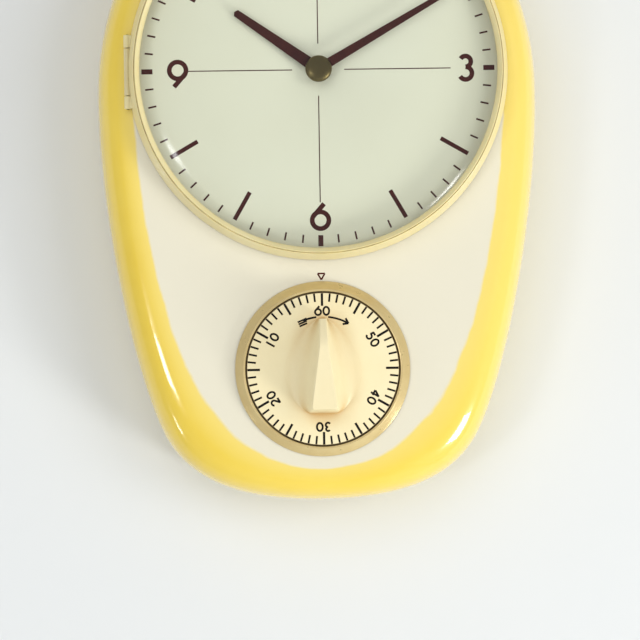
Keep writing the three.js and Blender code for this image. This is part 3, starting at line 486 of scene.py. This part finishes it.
def housing():
    """The glazed shell, as rings from inside to outside, with holes in front for the clock and the timer."""
    outer, panel = outline(OUTER), outline(PANEL)
    count = len(outer)
    rings, edges = [], []

    def ring(points, z, edge):
        rings.append([(x, y, z) for x, y in points])
        edges.extend([edge] * count)

    inner_low, inner_top = inset(outer, WALL), inset(panel, WALL / 2)
    inner_top_z, inner_side_z = PANEL_Z - WALL, 18
    ring(inset(inner_top, 3), inner_top_z, INSIDE)
    ring(inner_top, inner_top_z, INSIDE)
    for t in (0.15, 0.4, 0.7, 1.0):
        z = inner_side_z + (inner_top_z - inner_side_z) * math.cos(t * math.pi / 2)
        ring(blended(inner_top, inner_low, math.sin(t * math.pi / 2)), z, INSIDE)
    ring(inner_low, 0.6, INSIDE)
    ring(inset(outer, WALL - 0.6), 0.0, ON_FOOT)
    ring(inset(outer, 1.0), 0.0, ON_FOOT)
    ring(inset(outer, 0.25), 0.25, ON_FOOT)
    for z in (2, 6, 11, 15, 18):
        ring(outer, z, ON_SIDE)
    steps = 32
    for k in range(steps + 1):
        across, up = (abs(part) ** (2 / ROLL) for part in polar(1, 90 * k / steps))
        ring(blended(outer, panel, 1 - across), SIDE_Z + (PANEL_Z - SIDE_Z) * up, across * ON_SIDE)
    ring(inset(panel, 1.2), PANEL_Z, -1.2)
    ring(inset(panel, 3.0), PANEL_Z, -3.0)
    points = [p for r in rings for p in r]
    faces = []
    for k in range(len(rings) - 1):
        for i in range(count):
            a, b = k * count + i, k * count + (i + 1) % count
            faces.append((a, b, b + count, a + count))
    holes = [circle(CLOCK_HOLE_R, 128), circle(TIMER_HOLE_R, 96, (0, TIMER_Y))]
    for z, rim in ((PANEL_Z, rings[-1]), (inner_top_z, rings[0])):
        loops = [[(x, y) for x, y, _ in rim], *holes]
        flat = [p for loop in loops for p in loop]
        offset = len(points)
        points += [(x, y, z) for x, y in flat]
        edges.extend([ON_PANEL] * len(flat))
        for t in tessellate_polygon([[Vector((x, y, 0)) for x, y in loop] for loop in loops]):
            faces.append(tuple(offset + i for i in t))
    # The walls of the two holes join the front cap to the back one.
    front = len(rings) * count + count
    back = front + len(holes[0]) + len(holes[1]) + count
    for size, shift in ((len(holes[0]), 0), (len(holes[1]), len(holes[0]))):
        for i in range(size):
            a, b = shift + i, shift + (i + 1) % size
            faces.append((front + a, front + b, back + b, back + a))
    mesh = bpy.data.meshes.new("housing")
    mesh.from_pydata(to_world(points, CLOCK), [], faces)
    mesh.materials.append(GLAZE)
    attribute = mesh.attributes.new("edge_mm", "FLOAT", "POINT")
    attribute.data.foreach_set("value", edges)
    piece = bpy.data.objects.new("housing", mesh)
    bpy.context.collection.objects.link(piece)
    tidy_mesh(mesh, 40)
    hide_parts("ceramic_housing")
    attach(piece, "case")


def housing_back():
    """The closed top of the back, with the recess for a screw head, and the bosses for the cover."""
    web_low, z0, z1 = 52, 1.8, 6.8
    rim = [p for p in inset(outline(OUTER), 3.5) if p[1] > web_low]
    right = [p for p in rim if p[0] >= 0]
    left = [p for p in rim if p[0] < 0]
    corners = [(right[0][0], web_low), *right, *left, (left[-1][0], web_low)]
    low, high = HANGER_Y - 23.5, HANGER_Y + 1.5
    recess = rounded([(-9, low), (9, low), (9, high), (-9, high)], 4)
    parts = [slab(corners, [recess], z0, z1)]
    for at in COVER_SCREWS:
        boss_top = PANEL_Z - (7 if at[1] > 0 else 3)
        parts.append(slab(circle(4.5, 32, at), [circle(1.7, 16, at)], 4.5, boss_top))
    points, faces = merged(*parts)
    new_piece("housing_back", points, faces, CLOCK, GLAZE, "case")


# ---- Bezel, glass and dial ----
BEZEL_R = 78.9
LIP_R = 73.9
CREST_R = 76.0
HINGE_X = -BEZEL_R
HINGE_Z = 46.5
HINGE_R = 1.5
HINGE_HALF = 15.3
HINGE_LEAF = 9.7


def bezel():
    """A ring with a fine groove at its crest that dishes in to the glass, with its two hinge barrels."""
    low, high = depth("bezel", False), depth("bezel")
    inside = BEZEL_R - 2.1
    profile = rounded(
        [(inside, low), (BEZEL_R, low), (BEZEL_R - 0.25, low + 2.4), (CREST_R + 0.75, high - 1.3),
         (CREST_R + 0.4, high - 0.5), (CREST_R + 0.1, high - 1.15), (CREST_R - 0.1, high - 0.2),
         (CREST_R - 0.3, high), (LIP_R + 0.2, high - 1.6), (LIP_R, high - 1.85), (LIP_R, high - 2.1),
         (CREST_R + 0.1, high - 2.1), (CREST_R + 0.1, high - 3.4)],
        [0.2, 0.3, 1.2, 0.8, 0.16, 0.05, 0.12, 0.2, 0.25, 0.15, 0.1, 0.1, 0.3], 4)
    parts = [lathe(profile, 224)]
    for start, end in ((-HINGE_HALF, -HINGE_LEAF - 0.3), (HINGE_LEAF + 0.3, HINGE_HALF)):
        parts.append(hinge_barrel(start, end))
    points, faces = merged(*parts)
    new_piece("bezel_ring", points, faces, CLOCK, BEZEL_IVORY, "bezel", ["bezel"])


def hinge_barrel(start, end):
    """A rounded barrel up the side of the bezel, with a web that joins it to the ring."""
    corners = [(0, start), (HINGE_R, start), (HINGE_R, end), (0, end)]
    barrel_points, barrel_faces = lathe(rounded(corners, [0, 0.35, 0.35, 0], 4), 32, closed=False)
    barrel_points = [(HINGE_X + x, along, HINGE_Z - y) for x, y, along in barrel_points]
    low, high = start + 0.3, end - 0.3
    web = [(HINGE_X, low), (HINGE_X + 3, low), (HINGE_X + 3, high), (HINGE_X, high)]
    return merged((barrel_points, barrel_faces), slab(web, [], HINGE_Z - 1.2, HINGE_Z + 1.3))


def glass():
    """Pressed convex glass: nearly flat in the middle, rolled down towards its rim."""
    low, high = depth("glass_lens", False), depth("glass_lens")
    radius, thick = 75.5, 1.8
    drop = high - low - thick

    def front(r):
        t = r / radius
        return high - drop * (0.35 * t * t + 0.65 * t ** 13)

    steps = [radius * math.sin(math.pi / 2 * k / 44) for k in range(45)]
    profile = [(r, front(r) - thick) for r in steps] + [(r, front(r)) for r in reversed(steps)]
    points, faces = lathe(profile, 480, closed=False)
    new_piece("clock_glass", points, faces, CLOCK, CLEAR, "bezel", ["glass_lens"], 50)


def dial():
    low, high = depth("dial_plate", False), depth("dial_plate")
    hole, radius = 3.2, 75.4
    profile = rounded([(hole, low), (radius, low), (radius, high), (hole, high)], 0.08, 2)
    points, faces = lathe(profile, 192)
    new_piece("dial_disc", points, faces, CLOCK, DIAL_LACQUER, "case", ["dial_plate"])


# ---- Printed marks ----
INK_HEIGHT = 0.03
INK_STEP = 0.002


class Marks:
    """Flat printed strokes gathered into one piece, each a hair higher than the one before."""

    def __init__(self, z):
        self.z = z
        self.parts = []

    def stroke(self, line, width, closed=False):
        count = len(line)
        left, right = [], []
        for i, (x, y) in enumerate(line):
            if closed:
                before, after = line[i - 1], line[(i + 1) % count]
            else:
                before, after = line[max(i - 1, 0)], line[min(i + 1, count - 1)]
            along = (Vector(after) - Vector(before)).normalized()
            left.append((x - along.y * width / 2, y + along.x * width / 2))
            right.append((x + along.y * width / 2, y - along.x * width / 2))
        top = self.z + INK_HEIGHT + INK_STEP * (len(self.parts) % 6)
        points = [(x, y, z) for z in (self.z, top) for x, y in left + right]
        faces = []
        for i in range(count if closed else count - 1):
            j = (i + 1) % count
            a, b, c, d = i, j, count + j, count + i
            up = 2 * count
            faces += [(a, b, c, d), (a + up, d + up, c + up, b + up)]
            faces += [(a, a + up, b + up, b), (c, c + up, d + up, d)]
        if not closed:
            for i in (0, count - 1):
                faces.append((i, count + i, 3 * count + i, 2 * count + i))
        self.parts.append((points, faces))

    def piece(self, name, origin, ink, body, slot):
        points, faces = merged(*self.parts)
        new_piece(name, points, faces, origin, ink, body, sharp=20)


def arc(centre, radius, start, end, steps=20, squeeze=1.0):
    """Points along an arc, or along an ellipse squeezed sideways."""
    out = []
    for k in range(steps + 1):
        x, y = polar(radius, start + (end - start) * k / steps)
        out.append((centre[0] + x * squeeze, centre[1] + y))
    return out


def digit(name):
    """The strokes of a digit one unit high and centred on the origin, as (points, closed) pairs."""
    bowl = 0.31
    if name == "0":
        return [(arc((0, 0), 0.42, 0, 342, 19, 0.72), True)]
    if name == "1":
        return [([(0.0, -0.5), (0.0, 0.5)], False)]
    if name == "2":
        curve = arc((0, 0.16), 0.26, 160, -38, 18)
        return [(curve + [(-0.24, -0.42)], False), ([(-0.3, -0.42), (0.28, -0.42)], False)]
    if name == "3":
        upper = arc((0, 0.235), 0.2, 150, -90, 18)
        lower = arc((0, -0.2), 0.235, 90, -150, 18)
        return [(upper, False), (lower, False)]
    if name == "4":
        return [([(0.12, -0.5), (0.12, 0.45)], False), ([(0.14, 0.45), (-0.28, -0.18)], False),
                ([(-0.3, -0.2), (0.3, -0.2)], False)]
    if name == "5":
        curve = arc((-0.02, -0.16), 0.27, 118, -150, 20)
        return [([(0.22, 0.42), (-0.16, 0.42)], False), ([(-0.12, 0.45), (-0.155, 0.06)], False),
                (curve, False)]
    if name == "6":
        centre = (0, -0.42 + bowl)
        return [(arc(centre, bowl, 0, 340, 22), True), ([polar(bowl, 156, centre), (0.14, 0.5)], False)]
    if name == "9":
        return [([(-x, -y) for x, y in points], closed) for points, closed in digit("6")]
    raise ValueError(name)


def place_text(marks, text, height, width, at, turn, spacing):
    """Draws digits side by side, centred at a point and turned by an angle."""
    cos, sin = math.cos(math.radians(turn)), math.sin(math.radians(turn))
    for k, name in enumerate(text):
        shift = (k - (len(text) - 1) / 2) * spacing
        for points, closed in digit(name):
            moved = []
            for x, y in points:
                px, py = x * height + shift, y * height
                moved.append((at[0] + px * cos - py * sin, at[1] + px * sin + py * cos))
            marks.stroke(moved, width, closed)


def dial_marks():
    marks = Marks(DIAL_Z)
    for minute in range(60):
        angle = 90 - 6 * minute
        if minute % 15 == 0:
            marks.stroke([polar(68.6, angle), polar(73.2, angle)], 2.1)
        elif minute % 5 == 0:
            marks.stroke([polar(58.2, angle), polar(71.2, angle)], 1.75)
        else:
            marks.stroke([polar(68.7, angle), polar(72.1, angle)], 0.72)
    for text, at in (("12", (0, 61.2)), ("3", (61.2, 0)), ("6", (0, -61.2)), ("9", (-58.2, -0.8))):
        place_text(marks, text, 11.2, 1.95, at, 0, 6.6)
    for angle in (90, 0, -90, 180):
        marks.stroke([polar(10.8, angle), polar(55.0, angle)], 0.42)
    marks.piece("dial_marks", CLOCK, DIAL_INK, "case", "dial_print")


# ---- Timer ----
KNOB_R = 31.4
DISC_Z = depth("timer_knob", False) + 2.8
GRIP_UP = 20.8
GRIP_DOWN = 18.4


def trim_ring():
    low = PANEL_Z + 0.3
    high = DISC_Z + 0.35
    outer, inner = 36.4, 32.1
    profile = rounded(
        [(28, low), (outer, low), (outer - 0.1, low + 0.5), (outer - 0.9, low + 1.7), (inner + 0.9, high),
         (inner + 0.1, high - 0.3), (inner, low + 1.0), (28, low + 1.0)],
        [0.1, 0.2, 0.4, 2.0, 0.5, 0.2, 0.2, 0.1], 6)
    points, faces = lathe(profile, 192)
    new_piece("trim_ring", points, faces, TIMER, TRIM_BRASS, "case", ["timer_ring"])


def grip():
    """A bar with a narrow end that points at the mark and a wide foot, its flanks flaring into the disc."""
    steps = 56
    kink = 9.5
    top_z, foot_z = KNOB_Z, DISC_Z - 0.012

    def half_ridge(y):
        if y > kink:
            return 1.95 - 0.45 * (y - kink) / (GRIP_UP - kink)
        return 1.95 + 3.85 * (kink - y) / (kink + GRIP_DOWN)

    def ridge_z(y):
        if y <= kink:
            return top_z - 0.6 * ((kink - y) / (kink + GRIP_DOWN)) ** 2
        t = (y - kink) / (GRIP_UP - kink)
        return top_z - (top_z - DISC_Z - 10.5) * t ** 1.4

    def flare(y, level):
        """How far out from the ridge: a concave sweep that ends flush with the disc."""
        t = min(1.0, (GRIP_UP - y) / (GRIP_UP + GRIP_DOWN))
        width = 15.0 * max(0.0, math.sin(math.pi * t ** 0.95)) ** 0.8
        return width * (1 - level ** (1 / (4.4 - 2.9 * t ** 3)))

    places = [0.5 - 0.5 * math.cos(math.pi * k / steps) for k in range(steps + 1)]
    levels = [0.0, 0.0002, 0.001, 0.003, 0.008, 0.02, 0.045, 0.08, 0.13, 0.2,
              0.29, 0.4, 0.52, 0.64, 0.76, 0.86, 0.93, 0.97, 0.99, 1.0]
    rings = []
    for level in levels:
        ring = []
        for side in (-1, 1):
            for place in (places if side < 0 else reversed(places)):
                y = GRIP_UP - (GRIP_UP + GRIP_DOWN - 2.1 * level) * place
                crown = 0.35 if level > 0.98 else 0.12 if level > 0.95 else 0.0
                corner = min(1.0, max(0.0, (place - 0.955) / 0.045))
                crown += 1.0 * (1 - math.sqrt(1 - corner * corner))
                x = half_ridge(y) - crown + flare(y, level)
                z = foot_z + (ridge_z(y) - foot_z) * level
                ring.append((side * x, y, z))
        rings.append(ring)
    count = len(rings[0])
    points = [p for ring in rings for p in ring]
    faces = []
    for k in range(len(rings) - 1):
        for i in range(count):
            a, b = k * count + i, k * count + (i + 1) % count
            faces.append((a, b, b + count, a + count))
    for start in (0, (len(rings) - 1) * count):
        for i in range(steps):
            a, b = start + i, start + i + 1
            faces.append((a, b, start + count - 1 - (i + 1), start + count - 1 - i))
    return points, faces


def knob():
    low = depth("timer_knob", False)
    disc = rounded([(0, low), (KNOB_R - 0.15, low), (KNOB_R, DISC_Z), (0, DISC_Z)], [0, 0.3, 0.12, 0], 3)
    points, faces = merged(lathe(disc, 192, closed=False), grip())
    new_piece("knob_dial", points, faces, TIMER, KNOB_IVORY, "timer_knob",
              ["timer_knob"], 38)


def knob_marks():
    marks = Marks(DISC_Z)
    for minute in range(60):
        angle = 90 + 6 * minute
        if minute % 5 == 0:
            marks.stroke([polar(26.1, angle), polar(31.3, angle)], 0.95)
        else:
            marks.stroke([polar(27.9, angle), polar(31.3, angle)], 0.78)
    for k, text in enumerate(("60", "10", "20", "30", "40", "50")):
        angle = 90 + 60 * k
        place_text(marks, text, 3.95, 0.8, polar(24.0, angle), angle - 90, 3.4)
    radius, gap, reach = 21.6, 6.6, 30.0
    marks.stroke(arc((0, 0), radius, 90 - gap, 90 - reach, 14), 0.78)
    marks.stroke(arc((0, 0), radius, 90 + gap, 90 + 0.72 * reach, 10), 0.78)
    tip = polar(radius, 90 - reach)
    for barb in (118, 187):
        marks.stroke([tip, polar(2.4, barb, tip)], 0.8)
    for k in range(3):
        end = (-6.5 + 0.1 * k, 21.0 - 0.98 * k)
        marks.stroke([end, polar(4.0 - 0.3 * k, 203, end)], 0.7)
    marks.piece("knob_marks", TIMER, SCALE_INK, "timer_knob", "knob_plastic")


def zero_mark():
    """A small outlined triangle on the ceramic, pointing down at the timer."""
    marks = Marks(PANEL_Z)
    y = TIMER_Y + 38.35
    corners = [(0, y - 1.4), (1.5, y + 1.2), (-1.5, y + 1.2)]
    for a, b in ((0, 1), (1, 2), (2, 0)):
        marks.stroke([corners[a], corners[b]], 0.66)
    marks.piece("zero_mark", CLOCK, MARK_INK, "case", "glaze")


# ---- Hands ----
def hand(name, node, length, base, tip, clockwise):
    """A tapered blade with a short tail and a round boss, turned clockwise from twelve by an angle."""
    tail = 4.5
    z0 = depth(node, False)
    shape = rounded(
        [(-base * 0.4, -tail), (base * 0.4, -tail), (base / 2, 0), (tip / 2, length - 0.8),
         (0, length), (-tip / 2, length - 0.8), (-base / 2, 0)], [0.4, 0.4, 6, 0.2, 0.1, 0.2, 6], 4)
    disc = circle(4.4, 48)
    cos, sin = math.cos(math.radians(clockwise)), math.sin(math.radians(clockwise))

    def turn(points):
        return [(x * cos + y * sin, -x * sin + y * cos, z) for x, y, z in points]

    blade_points, blade_faces = slab(shape, [], z0, z0 + 0.5)
    disc_points, disc_faces = slab(disc, [], z0 + 0.02, z0 + 0.54)
    points, faces = merged((turn(blade_points), blade_faces), (disc_points, disc_faces))
    new_piece(name, points, faces, CLOCK, HAND_LACQUER, node, [node], 30)


def hub():
    low, high = depth("hub_cap", False), depth("hub_cap")
    profile = [(0, low), (5.3, low), (5.5, low + 0.15), (5.5, low + 0.6)]
    for k in range(1, 17):
        angle = 90 * k / 16
        r, up = polar(1, angle)
        profile.append((5.4 * r if k < 16 else 0, low + 0.65 + (high - low - 0.65) * up))
    points, faces = lathe(profile, 96, closed=False)
    new_piece("hub_dome", points, faces, CLOCK, HUB_BRASS, "minute_hand", ["hub_cap"])


# ---- Back ----
def rear_cover():
    key = centre_of("winding_key")
    key_at = ((key.x - CLOCK.x) / MM, (key.z - CLOCK.z) / MM)
    top = 50.8
    edge = [p for p in inset(outline(OUTER), WALL + 0.9) if p[1] < top]
    right = [p for p in edge if p[0] >= 0]
    left = [p for p in edge if p[0] < 0]
    shape = [*right, (right[-1][0] - 0.3, top), (left[0][0] + 0.3, top), *left]
    holes = [circle(20, 72, key_at)]
    holes += [circle(1.7, 20, at) for at in COVER_SCREWS]
    for k in (-1, 0, 1):
        x = 8 * k
        slot = [polar(1.5, a, (x, TIMER_Y + 11.5)) for a in range(0, 181, 20)]
        slot += [polar(1.5, a, (x, TIMER_Y - 11.5)) for a in range(180, 361, 20)]
        holes.append(slot)
    points, faces = slab(shape, holes, 2.2, 4.2)
    new_piece("back_board", points, faces, CLOCK, FIBRE_BOARD, "case", ["rear_cover"], 30)


def hanger():
    low, high = HANGER_Y - 22, HANGER_Y + 10
    corners = [(-24, low), (24, low), (24, high), (-24, high)]
    keyhole = [polar(2.3, a, (0, HANGER_Y - 5)) for a in range(0, 181, 15)]
    keyhole += [polar(5, a, (0, HANGER_Y - 13)) for a in range(117, 424, 12)]
    sinks = [circle(3.3, 32, (x, HANGER_Y)) for x in (-17, 17)]
    points, faces = slab(rounded(corners, 3), [keyhole, *sinks], 0.02, 1.5)
    new_piece("hanger", points, faces, CLOCK, ZINC_STEEL, "case", ["hanger_plate"], 30)


# ---- Stage, light and camera ----
def stage_material(name, colour, one_sided):
    look = Look(name, roughness=0.85)
    look.set("Base Color", look.mix(look.noise(3, 2), colour, tuple(0.985 * c for c in colour[:3]) + (1,)))
    if one_sided:
        tree = look.tree
        clear = tree.nodes.new("ShaderNodeBsdfTransparent")
        join = tree.nodes.new("ShaderNodeMixShader")
        behind = look.node("NewGeometry", output=6)
        shadow = look.node("LightPath", output=1)
        tree.links.new(look.math("MAXIMUM", behind, shadow), join.inputs[0])
        tree.links.new(look.shader.outputs[0], join.inputs[1])
        tree.links.new(clear.outputs[0], join.inputs[2])
        tree.links.new(join.outputs[0], look.out.inputs[0])
    return look.material


def stage():
    pale = rgb(229, 231, 231)
    for name, corners, one_sided in (
        ("wall", [(-3, 0.0006, -1.6), (3, 0.0006, -1.6), (3, 0.0006, 2.2), (-3, 0.0006, 2.2)], True),
        ("floor", [(-3, -3.5, -1.6), (3, -3.5, -1.6), (3, 2.5, -1.6), (-3, 2.5, -1.6)], False),
    ):
        mesh = bpy.data.meshes.new(name)
        mesh.from_pydata(corners, [], [(0, 1, 2, 3)])
        mesh.materials.append(stage_material(name + "_paint", pale, one_sided))
        plane = bpy.data.objects.new(name, mesh)
        bpy.context.collection.objects.link(plane)


LIT_POINT = Vector((0, -0.04, -0.17))


def area_light(name, azimuth, tilt, distance, size, power, colour=(1, 1, 1)):
    """A soft box tilted off the viewing axis; azimuth is anticlockwise from the right."""
    light = bpy.data.lights.new(name, "AREA")
    light.shape = "RECTANGLE"
    light.size, light.size_y = size
    light.energy = power
    light.color = colour
    obj = bpy.data.objects.new(name, light)
    bpy.context.collection.objects.link(obj)
    across, up = polar(math.sin(math.radians(tilt)), azimuth)
    direction = Vector((across, -math.cos(math.radians(tilt)), up))
    obj.location = LIT_POINT + direction * distance
    obj.rotation_euler = (-direction).to_track_quat("-Z", "Y").to_euler()
    return obj


def lights():
    key = area_light("key_box", 6, 42, 2.3, (1.0, 1.0), 11.6, (1.0, 0.99, 0.97))
    fill = area_light("front_fill", 130, 24, 2.6, (2.0, 2.0), 16.2, (0.98, 0.99, 1.0))
    area_light("low_window", -35, 66, 1.6, (0.46, 0.36), 11, (1.0, 1.0, 0.98))
    area_light("left_strip", 212, 74, 1.3, (0.05, 0.16), 0.6, (0.97, 0.98, 1.0))
    area_light("left_gap", 200, 38, 1.6, (0.26, 0.17), 2.4, (0.97, 0.98, 1.0))
    area_light("back_fill", 90, 170, 1.3, (0.6, 0.6), 5)
    for broad in (key, fill):
        broad.visible_glossy = False
    world = bpy.data.worlds.new("studio")
    world.use_nodes = True
    tree = world.node_tree
    background = tree.nodes["Background"]
    background.inputs[0].default_value = (0.97, 0.985, 1.0, 1)
    background.inputs[1].default_value = 0.48
    bpy.context.scene.world = world


def camera():
    """Nearly square on, a little to the left, framing the object from its clock's centre down."""
    distance = 1.25
    frame_width = 0.2656
    data = bpy.data.cameras.new("camera")
    data.sensor_width = 36
    data.lens = 36 * distance / frame_width
    data.clip_start = 0.01
    data.clip_end = 30
    obj = bpy.data.objects.new("camera", data)
    bpy.context.collection.objects.link(obj)
    target = Vector((CLOCK.x - 0.0008, -PANEL_Z * MM, CLOCK.z - 0.10375))
    obj.location = target + Vector((-0.04, -distance, 0.0))
    aim = (target - obj.location).to_track_quat("-Z", "Y").to_euler()
    aim.rotate_axis("Z", math.radians(-0.9))
    obj.rotation_euler = aim
    bpy.context.scene.camera = obj


bpy.context.scene.view_settings.view_transform = "Standard"
camera()
stage()
lights()
dress_cad_nodes()
housing()
housing_back()
bezel()
glass()
dial()
dial_marks()
trim_ring()
knob()
knob_marks()
zero_mark()
hand("hour_blade", "hour_hand", length=42, base=5, tip=3, clockwise=305)
hand("minute_blade", "minute_hand", length=61, base=4, tip=2.2, clockwise=60)
hub()
rear_cover()
hanger()
